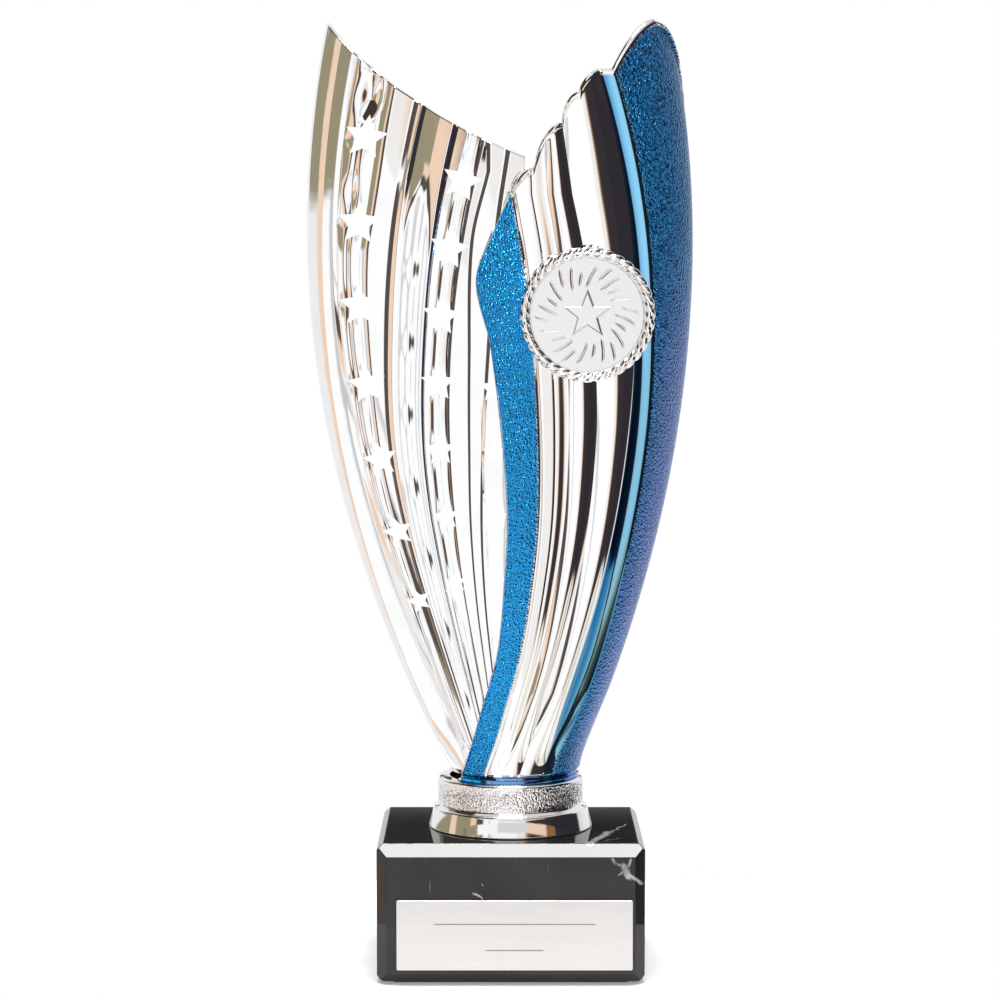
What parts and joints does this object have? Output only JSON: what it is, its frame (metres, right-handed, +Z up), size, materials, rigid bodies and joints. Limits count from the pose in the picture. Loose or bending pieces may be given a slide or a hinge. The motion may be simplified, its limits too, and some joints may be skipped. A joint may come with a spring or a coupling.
{
  "type": "column trophy",
  "caption": "Free-standing trophy: two curved metallised leaves, one pierced with stars and one fluted with a medallion, in a round collar on a marble block with a blank plate.",
  "frame": {"origin": "centre of the felt's underside, on the surface that the trophy stands on", "axes": "+X to the trophy's right as the plate is read, -Y to the front where the plate and medallion are, +Z up"},
  "size_m": [0.0835, 0.0488, 0.2042],
  "materials": {
    "marble": "polished black with a few white veins",
    "felt": "matt",
    "tape": "matt",
    "plate_metal": "satin",
    "bright_plastic": "vacuum-metallised, mirror bright",
    "blue_lacquer": "vacuum-metallised, then sprayed with clear blue lacquer in two bands; the flutes between them stay mirror bright",
    "hub_plastic": "matt moulded",
    "zinc_steel": "zinc plated",
    "disc_metal": "satin silver"
  },
  "bodies": {
    "root": {"marble_base": "marble", "felt_pad": "felt", "plate_tape": "tape", "engraving_plate": "plate_metal", "foot_collar": "bright_plastic", "column_hub": "hub_plastic", "threaded_rod": "zinc_steel", "top_nut": "zinc_steel", "flat_washer": "zinc_steel", "lock_washer": "zinc_steel", "bottom_nut": "zinc_steel", "star_leaf": "bright_plastic", "fluted_leaf": "blue_lacquer", "rope_bezel": "bright_plastic", "disc_tape": "tape", "centre_disc": "disc_metal"}
  },
  "joints": []
}
